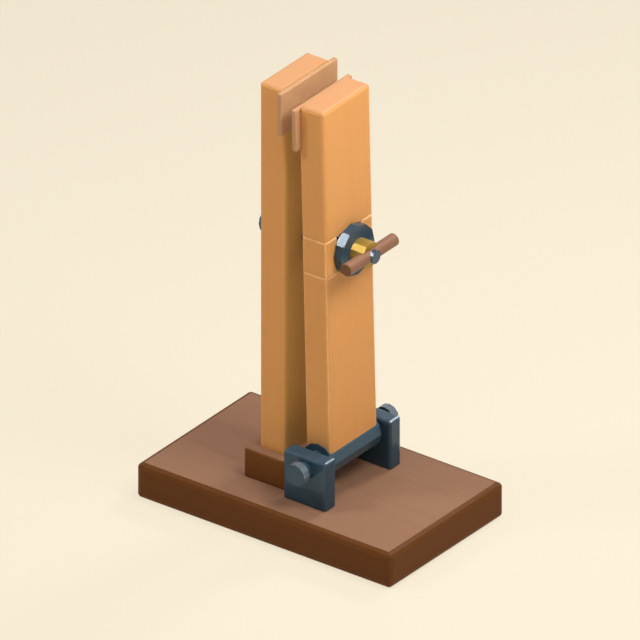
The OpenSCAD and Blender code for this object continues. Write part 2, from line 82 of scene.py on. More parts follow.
# Each soft lamp: where it hangs, its width and its power in watts
soft_lamps = {
    "right_lamp": ((0.60, 0.00, 1.05), 0.45, 6.55),
    "fill_lamp": ((0.60, 0.00, 1.05), 0.60, 1.10),
    "top_lamp": ((0.10, -0.35, 1.15), 0.50, 1.70),
    "back_lamp": ((0.15, 0.95, 1.00), 0.32, 6.20),
    "left_lamp": ((-0.69, -0.67, 1.18), 0.32, 6.00),
    "glint_lamp": ((-0.69, -0.67, 1.18), 0.32, 6.00),
}
# The fill lamp reaches between the jaws, and the glint lamp the wheel's flats beside them
shadowless_lamps = ("fill_lamp", "glint_lamp")
# The left lamp lights every surface, but what shines in its place is the glint lamp
unmirrored_lamps = ("left_lamp", "fill_lamp")
mirrored_only_lamps = ("glint_lamp",)
edge_lamp_from = Vector((0.10, 0.70, 0.71))
edge_lamp_width = radians(5)
edge_lamp_strength = 0.16


def hang_lamp(name, lamp, place_at, toward):
    """Puts a lamp in the scene, turned along a direction and itself out of sight."""
    holder = bpy.data.objects.new(name, lamp)
    holder.location = place_at
    holder.rotation_mode = "QUATERNION"
    holder.rotation_quaternion = toward.to_track_quat("-Z", "Y")
    holder.visible_camera = False
    holder.visible_glossy = name not in unmirrored_lamps
    holder.visible_diffuse = name not in mirrored_only_lamps
    scene.collection.objects.link(holder)


for name, (spot, width, power) in soft_lamps.items():
    lamp = bpy.data.lights.new(name, "AREA")
    lamp.shape = "DISK"
    lamp.size = width
    lamp.energy = power
    lamp.use_shadow = name not in shadowless_lamps
    lamp.cycles.use_multiple_importance_sampling = name not in shadowless_lamps
    hang_lamp(name, lamp, spot, lamp_aim - Vector(spot))
edge_lamp = bpy.data.lights.new("edge_lamp", "SUN")
edge_lamp.angle = edge_lamp_width
edge_lamp.energy = edge_lamp_strength
hang_lamp("edge_lamp", edge_lamp, lamp_aim + edge_lamp_from, -edge_lamp_from)


# Room: a weak even light from all round, and a pale backdrop in its place for the rays
# that look at it, straight from the camera or by way of a shine.
sky_colour = (1, 1, 1, 1)
sky_strength = 0.17
backdrop_colour = (0.95, 0.94, 0.92, 1)
backdrop_strength = 0.95


def place(tree, kind, sockets=None, **settings):
    """Adds a node; each socket is given a value, or linked where it is given an output."""
    node = tree.nodes.new(kind)
    for key, value in settings.items():
        setattr(node, key, value)
    for key, value in (sockets or {}).items():
        if isinstance(value, bpy.types.NodeSocket):
            tree.links.new(value, node.inputs[key])
        else:
            node.inputs[key].default_value = value
    return node


def sums(tree, operation, *terms):
    """Math node's result, from numbers and outputs."""
    return place(tree, "ShaderNodeMath", dict(enumerate(terms)), operation=operation).outputs[0]


def looked_at(tree):
    """1 for rays that look at a surface or mirror it, 0 for those that only gather its light."""
    path = place(tree, "ShaderNodeLightPath").outputs
    mirrored = sums(tree, "MAXIMUM", path["Is Glossy Ray"], path["Is Transmission Ray"])
    return sums(tree, "MAXIMUM", path["Is Camera Ray"], mirrored)


world = bpy.data.worlds.new("studio")
scene.world = world
world.use_nodes = True
tree = world.node_tree
tree.nodes.clear()
sky = place(tree, "ShaderNodeBackground", {
    "Color": sky_colour, "Strength": sky_strength,
}).outputs[0]
backdrop = place(tree, "ShaderNodeBackground", {
    "Color": backdrop_colour, "Strength": backdrop_strength,
}).outputs[0]
room = place(tree, "ShaderNodeMixShader", {0: looked_at(tree), 1: sky, 2: backdrop}).outputs[0]
place(tree, "ShaderNodeOutputWorld", {"Surface": room})


# Floor: a plain pale top. Most of what the camera sees of it is even, so the lamps' pools
# hardly show, and the rest takes the lamps and the clamp's shadow.
floor_half = 4.0
floor_colour = (0.93, 0.84, 0.67, 1)
floor_even_colour = (0.95, 0.85, 0.67, 1)
floor_even_strength = 1.0
floor_even_share = 0.8
# How far the floor lies under the board, so that their faces don't coincide
floor_gap = 0.0002


def mesh_object(name, form):
    """Object at the origin that holds the finished bmesh."""
    data = bpy.data.meshes.new(name)
    form.to_mesh(data)
    form.free()
    piece = bpy.data.objects.new(name, data)
    scene.collection.objects.link(piece)
    return piece


floor_form = bmesh.new()
bmesh.ops.create_grid(floor_form, x_segments=1, y_segments=1, size=floor_half)
bmesh.ops.translate(floor_form, vec=(0, 0, -floor_gap), verts=floor_form.verts)
floor = mesh_object("floor", floor_form)
floor_paint = bpy.data.materials.new("floor_paint")
floor_paint.use_nodes = True
tree = floor_paint.node_tree
tree.nodes.clear()
lit = place(tree, "ShaderNodeBsdfDiffuse", {"Color": floor_colour}).outputs[0]
even = place(tree, "ShaderNodeEmission", {
    "Color": floor_even_colour, "Strength": floor_even_strength,
}).outputs[0]
amount = sums(tree, "MULTIPLY", looked_at(tree), floor_even_share)
surface = place(tree, "ShaderNodeMixShader", {0: amount, 1: lit, 2: even}).outputs[0]
place(tree, "ShaderNodeOutputMaterial", {"Surface": surface})
floor.data.materials.append(floor_paint)


# Base board: one thick board of oiled walnut, its long grain along the clamp and its
# edges eased by hand. It lies flat on the bench and carries everything else.
walnut = {
    "early": (0.134, 0.044, 0.0098, 1), "late": (0.104, 0.034, 0.0076, 1),
    # The cap colours, on the faces turned up, paint the top much lighter and greyer than the sides: a
    # painted sheen and light.
    "early_cap": (0.297, 0.154, 0.091, 1), "late_cap": (0.256, 0.127, 0.071, 1),
    "cap_direction": (0, 0, 1), "cap_from": 0.95, "cap_to": 0.995,
    "worn_and_highlight": (0.210, 0.085, 0.032, 1), "pores": 0.15, "depth": 0.45,
    "rough": 0.50, "gloss": 0.10, "relief": 0.12,
}
along_x = (0, pi / 2, 0)


def new_material(name):
    """Material with a Principled BSDF, its tree and that shader."""
    material = bpy.data.materials.new(name)
    material.use_nodes = True
    tree = material.node_tree
    return material, tree, tree.nodes["Principled BSDF"]


def node_group(name, inputs, outputs):
    """Shader node group with its named sockets, and the two ends to build between."""
    group = bpy.data.node_groups.new(name, "ShaderNodeTree")
    for socket, kind in inputs.items():
        group.interface.new_socket(socket, in_out="INPUT", socket_type=kind)
    for socket, kind in outputs.items():
        group.interface.new_socket(socket, in_out="OUTPUT", socket_type=kind)
    start = group.nodes.new("NodeGroupInput").outputs
    end = group.nodes.new("NodeGroupOutput").inputs
    return group, start, end


def vectors(tree, operation, *terms):
    """Vector Math node's outputs, from vectors and outputs."""
    return place(tree, "ShaderNodeVectorMath", dict(enumerate(terms)), operation=operation).outputs


def stretched_noise(tree, vector, scale, detail=2.0, roughness=0.5):
    """Noise whose coordinates are scaled by their own amount along each axis, per metre."""
    drawn = vectors(tree, "MULTIPLY", vector, scale)[0]
    return place(tree, "ShaderNodeTexNoise", {
        "Vector": drawn, "Scale": 1.0, "Detail": detail, "Roughness": roughness,
    }).outputs["Fac"]


def blend_colours(tree, amount, first, second, blend_type="MIX"):
    """Colour between two, or their product where the blend type is MULTIPLY."""
    mixer = place(tree, "ShaderNodeMix", data_type="RGBA", blend_type=blend_type)
    # The node's sockets for colours: Factor is 0, A is 6 and B is 7, and the result is 2
    for key, value in ((0, amount), (6, first), (7, second)):
        if isinstance(value, bpy.types.NodeSocket):
            tree.links.new(value, mixer.inputs[key])
        else:
            mixer.inputs[key].default_value = value
    return mixer.outputs[2]


def span(tree, value, low, high, to_low=0.0, to_high=1.0):
    """Value carried from one range to another, smoothly and without passing its ends."""
    return place(tree, "ShaderNodeMapRange", {
        "Value": value, "From Min": low, "From Max": high, "To Min": to_low, "To Max": to_high,
    }, interpolation_type="SMOOTHSTEP").outputs["Result"]


# Timber: growth rings round a pith along Z, fine fibres, and short dark pores. Each scale
# is how closely a noise lies along X, Y and Z, per metre.
wander_scale = (9, 9, 2.6)
ripple_scale = (60, 60, 12)
streak_scale = (150, 150, 5)
fibre_scale = (1300, 1300, 28)
pore_scale = (900, 900, 75)
# Late wood within a year's ring, as shares of the ring
late_start = 0.15
late_full = 0.82
late_fall = 0.86
late_end = 1.0
# Depth of a year's late wood: the least, and how much more a year may have
late_least = 0.4
late_spread = 0.6
# What each feature gives to the colour, the relief and the roughness
late_mark = 0.62
streak_mark = 0.5
fibre_light = 0.07
fibre_least = 0.965
pore_light = -0.55
fibre_height = 0.5
late_height = 0.25
fibre_rough = 0.16
pore_rough = 0.2
# Where the noise of the pores opens into one
pore_start = 0.62
pore_full = 0.74

timber, start, end = node_group("timber", {
    "Vector": "NodeSocketVector", "Early": "NodeSocketColor", "Late": "NodeSocketColor",
    "Ring": "NodeSocketFloat", "Figure": "NodeSocketFloat", "Pores": "NodeSocketFloat",
    "Depth": "NodeSocketFloat",
}, {"Color": "NodeSocketColor", "Height": "NodeSocketFloat", "Sheen": "NodeSocketFloat"})
tree = timber
bend = stretched_noise(tree, start["Vector"], wander_scale, 2.0)
bend = sums(tree, "MULTIPLY", sums(tree, "SUBTRACT", bend, 0.5), start["Figure"])
ripple = stretched_noise(tree, start["Vector"], ripple_scale, 2.0)
ripple = sums(tree, "MULTIPLY", sums(tree, "SUBTRACT", ripple, 0.5), start["Ring"])
flat = vectors(tree, "MULTIPLY", start["Vector"], (1, 1, 0))[0]
radius = vectors(tree, "LENGTH", flat)["Value"]
radius = sums(tree, "ADD", sums(tree, "ADD", radius, bend), ripple)
turn = sums(tree, "DIVIDE", radius, start["Ring"])
year = sums(tree, "FLOOR", turn)
share = sums(tree, "FRACT", turn)
rise = span(tree, share, late_start, late_full)
fall = span(tree, share, late_fall, late_end, 1.0, 0.0)
late = sums(tree, "MULTIPLY", rise, fall)
growth = place(tree, "ShaderNodeTexWhiteNoise", {"W": year}, noise_dimensions="1D").outputs["Value"]
growth = sums(tree, "MULTIPLY_ADD", growth, late_spread, late_least)
late = sums(tree, "MULTIPLY", late, growth)
streak = stretched_noise(tree, start["Vector"], streak_scale, 3.0, 0.6)
fibre = stretched_noise(tree, start["Vector"], fibre_scale, 2.0, 0.6)
dash = stretched_noise(tree, start["Vector"], pore_scale, 1.0)
pore = sums(tree, "MULTIPLY", span(tree, dash, pore_start, pore_full), start["Pores"])
late_part = sums(tree, "MULTIPLY", late, late_mark)
mark = sums(tree, "ADD", late_part, sums(tree, "MULTIPLY", streak, streak_mark))
mark = sums(tree, "MULTIPLY", mark, start["Depth"])
colour = blend_colours(tree, mark, start["Early"], start["Late"])
shade = sums(tree, "MULTIPLY_ADD", fibre, fibre_light, fibre_least)
shade = sums(tree, "MULTIPLY", shade, sums(tree, "MULTIPLY_ADD", pore, pore_light, 1.0))
grey = place(tree, "ShaderNodeCombineXYZ", {0: shade, 1: shade, 2: shade}).outputs[0]
tree.links.new(blend_colours(tree, 1.0, colour, grey, "MULTIPLY"), end["Color"])
late_part = sums(tree, "MULTIPLY", late, late_height)
height = sums(tree, "SUBTRACT", sums(tree, "MULTIPLY", fibre, fibre_height), late_part)
tree.links.new(sums(tree, "SUBTRACT", height, pore), end["Height"])
pore_part = sums(tree, "MULTIPLY", pore, pore_rough)
tree.links.new(sums(tree, "MULTIPLY_ADD", fibre, fibre_rough, pore_part), end["Sheen"])

# Arris: 1 along the edges of a block of that half size, fading out over the width and
# broken into patches, which leave at least a part of it
patch_scale = (70, 70, 70)
patch_start = 0.35
patch_full = 0.65
patch_least = 0.45

arris, start, end = node_group("arris", {
    "Vector": "NodeSocketVector", "Half": "NodeSocketVector", "Width": "NodeSocketFloat",
}, {"Mask": "NodeSocketFloat"})
tree = arris
mirrored = vectors(tree, "ABSOLUTE", start["Vector"])[0]
outward = vectors(tree, "SUBTRACT", mirrored, start["Half"])[0]
parts = place(tree, "ShaderNodeSeparateXYZ", {0: outward}).outputs
inner = sums(tree, "MINIMUM", parts[0], parts[1])
outer = sums(tree, "MAXIMUM", parts[0], parts[1])
middle = sums(tree, "MAXIMUM", inner, sums(tree, "MINIMUM", outer, parts[2]))
near = sums(tree, "ADD", sums(tree, "DIVIDE", middle, start["Width"]), 1.0)
patchy = stretched_noise(tree, start["Vector"], patch_scale, 3.0, 0.6)
patchy = span(tree, patchy, patch_start, patch_full, patch_least, 1.0)
near = place(tree, "ShaderNodeClamp", {"Value": near}).outputs[0]
tree.links.new(sums(tree, "MULTIPLY", near, patchy), end["Mask"])

# Facing: 1 on faces square to a direction or its opposite, and 0 on faces well away from it
facing, start, end = node_group("facing", {
    "Normal": "NodeSocketVector", "Direction": "NodeSocketVector",
    "From": "NodeSocketFloat", "To": "NodeSocketFloat",
}, {"Mask": "NodeSocketFloat"})
tree = facing
square = vectors(tree, "DOT_PRODUCT", start["Normal"], start["Direction"])["Value"]
square = sums(tree, "ABSOLUTE", square)
tree.links.new(span(tree, square, start["From"], start["To"]), end["Mask"])

wood_relief_depth = 0.0004
wood_wear = 0.08
wood_wear_width = 0.004


def wood(name, timber_kind, pith, turned, ring, figure, half=None, middle=None, lean=0.0,
         wear_and_highlight=wood_wear, wear_and_highlight_width=wood_wear_width, inner_side=0):
    """Oiled wood: pith is a point on the heart line, turned its direction, half and middle
    the block whose edges take the worn colour, as wear and, below the jaw's seams, as a painted
    highlight, lean the angle at which the block stands, and inner_side the side along X whose
    face between the jaws takes a painted shade, darker and less red, 1 or -1, for which half
    and middle are needed."""
    material, tree, shader = new_material(name)
    spot = place(tree, "ShaderNodeTexCoord").outputs
    # Faces turned to the cap direction take the cap colours: end grain on the jaws and the bar, and a
    # painted sheen and light on the walnut's top.
    capped = place(tree, "ShaderNodeGroup", {
        "Normal": spot["Normal"], "Direction": timber_kind["cap_direction"],
        "From": timber_kind["cap_from"], "To": timber_kind["cap_to"],
    }, node_tree=facing).outputs["Mask"]
    along = place(tree, "ShaderNodeMapping", {
        "Vector": spot["Object"], "Location": pith, "Rotation": turned,
    }, vector_type="TEXTURE").outputs[0]
    grain = place(tree, "ShaderNodeGroup", {
        "Vector": along,
        "Early": blend_colours(tree, capped, timber_kind["early"], timber_kind["early_cap"]),
        "Late": blend_colours(tree, capped, timber_kind["late"], timber_kind["late_cap"]),
        "Ring": ring, "Figure": figure,
        "Pores": timber_kind["pores"], "Depth": timber_kind["depth"],
    }, node_tree=timber)
    colour = grain.outputs["Color"]
    # Edges take the worn colour: wear, and on the blocks below the jaw's seams a painted highlight.
    if half is not None:
        square = place(tree, "ShaderNodeMapping", {
            "Vector": spot["Object"], "Location": middle, "Rotation": (0, lean, 0),
        }, vector_type="TEXTURE").outputs[0]
        edge = place(tree, "ShaderNodeGroup", {
            "Vector": square, "Half": half, "Width": wear_and_highlight_width,
        }, node_tree=arris)
        rubbed_and_highlight = sums(tree, "MULTIPLY", edge.outputs["Mask"], wear_and_highlight)
        colour = blend_colours(tree, rubbed_and_highlight, colour, timber_kind["worn_and_highlight"])
    # Painted shade: the inner face between the jaws is painted darker and less red.
    if inner_side:
        across = place(tree, "ShaderNodeGroup", {
            "Normal": spot["Normal"], "Direction": (1, 0, 0),
            "From": timber_kind["throat_shade_from"], "To": timber_kind["throat_shade_to"],
        }, node_tree=facing).outputs["Mask"]
        beyond = place(tree, "ShaderNodeSeparateXYZ", {0: square}).outputs[0]
        beyond = sums(tree, "GREATER_THAN", sums(tree, "MULTIPLY", beyond, inner_side), 0.0)
        throat_shade = sums(tree, "MULTIPLY", across, beyond)
        throat_shade = sums(tree, "MULTIPLY", throat_shade, timber_kind["throat_shade_share"])
        colour = blend_colours(tree, throat_shade, colour, timber_kind["throat_shade"])
    tree.links.new(colour, shader.inputs["Base Color"])
    rough = sums(tree, "ADD", grain.outputs["Sheen"], timber_kind["rough"])
    tree.links.new(rough, shader.inputs["Roughness"])
    shader.inputs["Specular IOR Level"].default_value = timber_kind["gloss"]
    relief = place(tree, "ShaderNodeBump", {
        "Height": grain.outputs["Height"],
        "Strength": timber_kind["relief"], "Distance": wood_relief_depth,
    }).outputs[0]
    tree.links.new(relief, shader.inputs["Normal"])
    return material


def finish(piece_name, material):
    """Gives a CAD node its finish."""
    materials = nodes[piece_name].data.materials
    materials.clear()
    materials.append(material)


def block_size(piece_name):
    """Half size and middle of a CAD node's box."""
    low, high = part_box(piece_name)
    return (high - low) / 2, (high + low) / 2


board_half, board_middle = block_size("base_board")
finish("base_board", wood(
    "base_board_walnut", walnut, pith=(0, 0.022, -0.055), turned=along_x,
    ring=0.0052, figure=0.030, half=board_half, middle=board_middle, wear_and_highlight_width=0.006))


# Foot block: a block of walnut painted a shade paler than the board, a painted light for the
# bounce light it lacks beside the hinge, with a mortise cut through it, glued and screwed
# down over the foot of the fixed jaw.
painted_light_walnut = dict(walnut, early=(0.185, 0.066, 0.017, 1), late=(0.142, 0.050, 0.013, 1))
along_y = (pi / 2, 0, 0)
block_half, block_middle = block_size("foot_block")
finish("foot_block", wood(
    "foot_block_walnut", painted_light_walnut, pith=(0.050, 0, -0.035), turned=along_y,
    ring=0.0048, figure=0.020, half=block_half, middle=block_middle, wear_and_highlight_width=0.003))


# Fixed jaw: one upright board of beech, rebated at the top for its leather pad and
# bored through for the nut of the clamp screw. Its inner face is painted darker and less red, a
# painted shade between the jaws.
beech = {
    "early": (0.725, 0.332, 0.102, 1), "late": (0.665, 0.293, 0.086, 1),
    "early_cap": (0.585, 0.285, 0.128, 1), "late_cap": (0.540, 0.260, 0.112, 1),
    "cap_direction": (0, 0, 1), "cap_from": 0.3, "cap_to": 0.95,
    "throat_shade": (0.460, 0.370, 0.100, 1), "throat_shade_share": 0.4,
    "throat_shade_from": 0.8, "throat_shade_to": 0.98,
    "worn_and_highlight": (0.780, 0.400, 0.150, 1), "pores": 0.06, "depth": 0.5,
    "rough": 0.48, "gloss": 0.22, "relief": 0.10,
}
upright_grain = (0, 0, 0)
jaw_half, jaw_middle = block_size("fixed_jaw")
finish("fixed_jaw", wood(
    "fixed_jaw_beech", beech, pith=(-0.105, 0.022, 0), turned=upright_grain,
    ring=0.0036, figure=0.016, half=jaw_half, middle=jaw_middle, inner_side=1))


# Moving jaw: two long blocks of beech with a cheek each side of the screw's window
# between them, glued on dowels. It leans a little towards the fixed jaw.
jaw_lean = radians(1.4)
leaning_grain = (0, -jaw_lean, 0)
lean_matrix = Matrix.Rotation(-jaw_lean, 3, "Y")
hinge = Vector(next(j["pos_m"] for j in frame["joints"] if j["name"] == "jaw_tilt"))
# The eased edges below the seams are painted pale, a painted highlight of the light from above
# that they catch. Its strength is over 1, so that it fills most of the patches.
seam_highlight_beech = dict(beech, worn_and_highlight=(1.0, 0.60, 0.27, 1))
seam_highlight = 1.5
seam_highlight_width = 0.0020
# How far below its real place a block's middle is taken, which leaves its lower edges alone
pale_edge_drop = Vector((0, 0, 0.02))
# Each block: its timber, its heart from the hinge, its rings' width, how far they wander,
# and how pale its edges are painted, over what width: wear on the upper block and the dowels,
# and a painted highlight on the blocks below the seams
jaw_blocks = {
    "lower_jaw_block": (
        seam_highlight_beech, (-0.060, 0.020, 0), 0.0036, 0.018, seam_highlight, seam_highlight_width),
    "front_window_cheek": (
        seam_highlight_beech, (-0.045, -0.075, 0), 0.0034, 0.010, seam_highlight, seam_highlight_width),
    "rear_window_cheek": (
        seam_highlight_beech, (-0.050, 0.085, 0), 0.0034, 0.010, seam_highlight, seam_highlight_width),
    "upper_jaw_block": (
        beech, (-0.070, -0.018, 0), 0.0038, 0.018, wood_wear, wood_wear_width),
    "jaw_dowels": (
        beech, (0, 0, 0), 0.0030, 0.008, wood_wear, wood_wear_width),
}


def leaning_block_size(piece_name):
    """Half size and middle of a CAD node that stands at the jaw's lean."""
    square = [lean_matrix.inverted() @ (v.co - hinge) for v in nodes[piece_name].data.vertices]
    low = Vector([min(p[k] for p in square) for k in range(3)])
    high = Vector([max(p[k] for p in square) for k in range(3)])
    return (high - low) / 2, hinge + lean_matrix @ ((high + low) / 2)


# Each block's inner face, towards the fixed jaw, takes the same painted shade.
for name, (timber_kind, heart, ring, figure, wear_and_highlight, wear_and_highlight_width) in jaw_blocks.items():
    piece_half, piece_middle = leaning_block_size(name)
    finish(name, wood(
        name + "_beech", timber_kind, pith=hinge + Vector(heart), turned=leaning_grain,
        ring=ring, figure=figure, half=piece_half + pale_edge_drop,
        middle=piece_middle - lean_matrix @ pale_edge_drop, lean=-jaw_lean,
        wear_and_highlight=wear_and_highlight, wear_and_highlight_width=wear_and_highlight_width, inner_side=-1))


# Leather pads: thick vegetable-tanned leather, its grain side to the work and its cut
# edges rubbed smooth, glued into the rebates at the top of both jaws.
leather_light = (0.550, 0.300, 0.147, 1)
leather_dark = (0.445, 0.228, 0.101, 1)
hide_cloud_scale = (70, 70, 70)
hair_scale = (2600, 2600, 2600)
# Grain of the hide: small pebbles between creases of this share of a pebble's width
pebbles_per_metre = 1500.0
crease_share = 0.18
# What the clouds and pebbles give to the tone, the roughness and the relief
cloud_tone = 0.9
even_tone = -0.05
pebble_tone = -0.25
hide_cloud_rough = 0.25
hide_even_rough = 0.48
pebble_height = 0.7
hair_height = 0.3
hide_relief = 0.25
hide_relief_depth = 0.0003
hide_gloss = 0.25

hide, tree, shader = new_material("tan_hide")
spot = place(tree, "ShaderNodeTexCoord").outputs["Object"]
cloud = stretched_noise(tree, spot, hide_cloud_scale, 4.0, 0.6)
pebble = place(tree, "ShaderNodeTexVoronoi", {
    "Vector": spot, "Scale": pebbles_per_metre, "Randomness": 1.0,
}, feature="DISTANCE_TO_EDGE").outputs["Distance"]
pebble = span(tree, pebble, 0.0, crease_share)
hair = stretched_noise(tree, spot, hair_scale, 1.0)
tone = sums(tree, "MULTIPLY_ADD", cloud, cloud_tone, even_tone)
tone = sums(tree, "MULTIPLY_ADD", pebble, pebble_tone, tone)
tree.links.new(blend_colours(tree, tone, leather_light, leather_dark), shader.inputs["Base Color"])
rough = sums(tree, "MULTIPLY_ADD", cloud, hide_cloud_rough, hide_even_rough)
tree.links.new(rough, shader.inputs["Roughness"])
shader.inputs["Specular IOR Level"].default_value = hide_gloss
raised = sums(tree, "MULTIPLY", pebble, pebble_height)
raised = sums(tree, "ADD", raised, sums(tree, "MULTIPLY", hair, hair_height))
relief = place(tree, "ShaderNodeBump", {
    "Height": raised, "Strength": hide_relief, "Distance": hide_relief_depth,
}).outputs[0]
tree.links.new(relief, shader.inputs["Normal"])

# A pad's edges: rounded on the work side, just broken on the glued side
pad_round = 0.0008
pad_round_flats = 4
pad_back_round = 0.0002
pad_back_flats = 2
# Cells along each side of a pad, fine enough for its dents
pad_cells = 24
# Dents of its faces: their depth, their waves across and up the pad in radians per metre,
# and the shares of the depth that are even and that follow the waves
pad_dent = 0.00022
dent_across = 170
dent_up = 240
dent_ripple = 410
dent_ripple_share = 0.6
dent_even_share = 0.5
dent_wave_share = 0.3
# Where the waves start, in radians: across the pad, and up it for a metre of half height
dent_start = 1.3
dent_shift = 90


def leather_pad(name, node, half, middle, turn, body, work_side):
    """Slab whose edges are rounded on its work side, and whose faces are dented a little by
    use, never proud of the CAD solid."""
    form = bmesh.new()
    bmesh.ops.create_cube(form, size=2)
    bmesh.ops.scale(form, vec=half, verts=form.verts)
    back = [e for e in form.edges if all(v.co.x * work_side < 0 for v in e.verts)]
    front = [e for e in form.edges if e not in back]
    bmesh.ops.bevel(form, geom=front, offset=pad_round, offset_type="OFFSET",
                    segments=pad_round_flats, profile=0.5, affect="EDGES", material=-1)
    back = [e for e in form.edges
            if all(abs(v.co.x * work_side + half.x) < pad_back_round for v in e.verts)]
    bmesh.ops.bevel(form, geom=back, offset=pad_back_round, offset_type="OFFSET",
                    segments=pad_back_flats, profile=0.5, affect="EDGES", material=-1)
    for k in range(1, pad_cells):
        for axis, reach in ((1, half.y), (2, half.z)):
            cut = Vector((0, 0, 0))
            cut[axis] = (2 * k / pad_cells - 1) * (reach - pad_round)
            side = Vector((0, 0, 0))
            side[axis] = 1
            bmesh.ops.bisect_plane(form, geom=form.verts[:] + form.edges[:] + form.faces[:],
                                   plane_co=cut, plane_no=side)
    for vert in form.verts:
        if abs(vert.co.x) > half.x - pad_round / 2:
            wave = sin(vert.co.y * dent_across + dent_start)
            wave *= sin(vert.co.z * dent_up + half.z * dent_shift)
            wave += dent_ripple_share * sin(vert.co.y * dent_ripple)
            dent = pad_dent * (dent_even_share + dent_wave_share * wave)
            vert.co.x -= dent if vert.co.x > 0 else -dent
    bmesh.ops.transform(form, matrix=Matrix.Translation(middle) @ turn.to_4x4(), verts=form.verts)
    for face in form.faces:
        face.smooth = True
    pad = mesh_object(name, form)
    pad.data.materials.append(hide)
    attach(pad, body)
    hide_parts(node)


leather_pad("fixed_jaw_leather", "fixed_jaw_pad", *block_size("fixed_jaw_pad"),
            turn=Matrix.Identity(3), body="stand", work_side=1)
leather_pad("moving_jaw_leather", "moving_jaw_pad", *leaning_block_size("moving_jaw_pad"),
            turn=lean_matrix, body="moving_jaw", work_side=-1)


# Hinge: two sawn and filed steel ears screwed to the board, a pin with two twelve-sided
# heads on spacers, and a twelve-sided barrel under the moving jaw that turns on bushes.
# All of it is blued, and the blue is rubbed thin along the ears' edges. The flats of the pin's heads
# are painted paler, a painted highlight.
blue_dark = (0.033, 0.070, 0.103, 1)
blue_light = (0.045, 0.088, 0.126, 1)
# Paler blue: rubbed thin on the ears' edges, and a painted highlight on the pin's heads
blue_worn_and_highlight = (0.17, 0.21, 0.24, 1)
blue_wear = 0.3
blue_wear_width = 0.0016
# How much paler the pin's heads are painted, but for their faces square to Y: a painted highlight on
# their flats
head_highlight = 0.75
head_face_from = 0.5
head_face_to = 0.9
blued_gloss = 0.25
blued_metallic = 0.1
blued_relief = 0.05
tool_mark_depth = 0.0002

# Blueing: clouded blue-black over fine tool marks, which run along X of the vector
blue_cloud_scale = (55, 55, 55)
filed_scale = (60, 2200, 2200)
blue_cloud_share = 0.8
blue_mark_share = 0.25
blue_cloud_rough = 0.06
blue_mark_rough = 0.04
blue_even_rough = 0.13

blueing, start, end = node_group("blueing", {
    "Vector": "NodeSocketVector", "Dark": "NodeSocketColor", "Light": "NodeSocketColor",
}, {"Color": "NodeSocketColor", "Height": "NodeSocketFloat", "Rough": "NodeSocketFloat"})
tree = blueing
cloud = stretched_noise(tree, start["Vector"], blue_cloud_scale, 4.0, 0.6)
lines = stretched_noise(tree, start["Vector"], filed_scale, 2.0)
tone = sums(tree, "MULTIPLY", cloud, blue_cloud_share)
tone = sums(tree, "ADD", tone, sums(tree, "MULTIPLY", lines, blue_mark_share))
tree.links.new(blend_colours(tree, tone, start["Dark"], start["Light"]), end["Color"])
tree.links.new(lines, end["Height"])
rough = sums(tree, "MULTIPLY_ADD", lines, blue_mark_rough, blue_even_rough)
tree.links.new(sums(tree, "MULTIPLY_ADD", cloud, blue_cloud_rough, rough), end["Rough"])


def blued(name, turned=(0, 0, 0), half=None, middle=None, rim_highlight=0.0, gloss=blued_gloss):
    """Blued steel; turned lays the tool marks, half and middle give edges that are rubbed, and
    rim_highlight is how much paler all but the faces square to Y are painted, a painted highlight."""
    material, tree, shader = new_material(name)
    spot = place(tree, "ShaderNodeTexCoord").outputs
    marks = place(tree, "ShaderNodeMapping", {
        "Vector": spot["Object"], "Rotation": turned,
    }, vector_type="TEXTURE").outputs[0]
    blue = place(tree, "ShaderNodeGroup", {
        "Vector": marks, "Dark": blue_dark, "Light": blue_light,
    }, node_tree=blueing)
    colour = blue.outputs["Color"]
    if half is not None:
        square = place(tree, "ShaderNodeMapping", {
            "Vector": spot["Object"], "Location": middle,
        }, vector_type="TEXTURE").outputs[0]
        edge = place(tree, "ShaderNodeGroup", {
            "Vector": square, "Half": half, "Width": blue_wear_width,
        }, node_tree=arris)
        rubbed_and_highlight = sums(tree, "MULTIPLY", edge.outputs["Mask"], blue_wear)
        colour = blend_colours(tree, rubbed_and_highlight, colour, blue_worn_and_highlight)
    # Painted highlight: all but the faces square to Y are painted paler.
    if rim_highlight > 0:
        ends = place(tree, "ShaderNodeGroup", {
            "Normal": spot["Normal"], "Direction": (0, 1, 0),
            "From": head_face_from, "To": head_face_to,
        }, node_tree=facing).outputs["Mask"]
        rubbed_and_highlight = sums(tree, "MULTIPLY_ADD", ends, -rim_highlight, rim_highlight)
        colour = blend_colours(tree, rubbed_and_highlight, colour, blue_worn_and_highlight)
    tree.links.new(colour, shader.inputs["Base Color"])
    tree.links.new(blue.outputs["Rough"], shader.inputs["Roughness"])
    shader.inputs["Metallic"].default_value = blued_metallic
    shader.inputs["Specular IOR Level"].default_value = gloss
    relief = place(tree, "ShaderNodeBump", {
        "Height": blue.outputs["Height"], "Strength": blued_relief, "Distance": tool_mark_depth,
    }).outputs[0]
    tree.links.new(relief, shader.inputs["Normal"])
    return material


for name in ("front_hinge_ear", "rear_hinge_ear"):
    ear_half, ear_middle = block_size(name)
    finish(name, blued(name + "_blued", along_x, ear_half, ear_middle))
# The pin and its cap have the flats of their heads painted paler, a painted highlight.
for name in ("hinge_pin", "hinge_pin_cap"):
    finish(name, blued(name + "_blued", along_y, rim_highlight=head_highlight))
for name in ("pin_spacers", "hinge_barrel", "hinge_bushes"):
    finish(name, blued(name + "_blued", along_y))


# Screws and washers: plain bright steel, turned. The screws under the board have slots or
# hexagon sockets, and the washers lie under the nut's head and behind the hand wheel.
bright_light = (0.62, 0.63, 0.64, 1)
bright_dark = (0.42, 0.43, 0.45, 1)
metal_cloud_scale = (90, 90, 90)
metal_cloud_share = 0.7
metal_mark_share = 0.3
# Sum of clouds and marks at which the metal is at its smoothest and at its roughest
smooth_at = 0.3
rough_at = 1.0
metal_relief = 0.03


